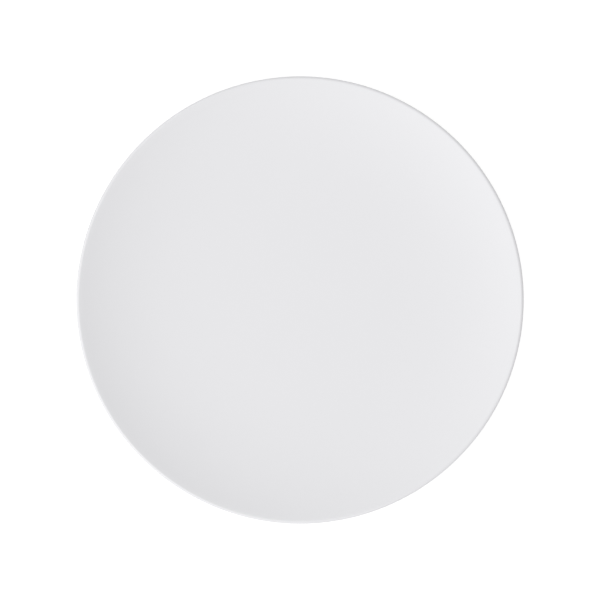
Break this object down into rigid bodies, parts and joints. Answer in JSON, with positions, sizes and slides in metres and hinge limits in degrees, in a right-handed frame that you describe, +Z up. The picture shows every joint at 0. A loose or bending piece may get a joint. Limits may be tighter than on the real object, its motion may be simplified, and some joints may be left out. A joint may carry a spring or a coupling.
{
  "type": "gourmet plate",
  "caption": "Round white porcelain coupe plate: a flat middle that sweeps up to a full-round lip, glossy glaze, and a bare foot ring under it, for plating and serving one course.",
  "frame": {"origin": "on the plate's axis, at the table that the foot ring stands on", "axes": "+Z up along the plate's axis, out of the eating face; X and Y are any two directions across the round plate"},
  "size_m": [0.3199, 0.32, 0.02],
  "materials": {
    "porcelain": "bare fired porcelain, fine and matte, ground smooth on the foot",
    "glaze": "smooth clear gloss glaze over white porcelain"
  },
  "bodies": {
    "root": {"porcelain_body": "porcelain", "outer_glaze": "glaze", "recess_glaze": "glaze", "centre_glaze": "glaze"}
  },
  "joints": []
}
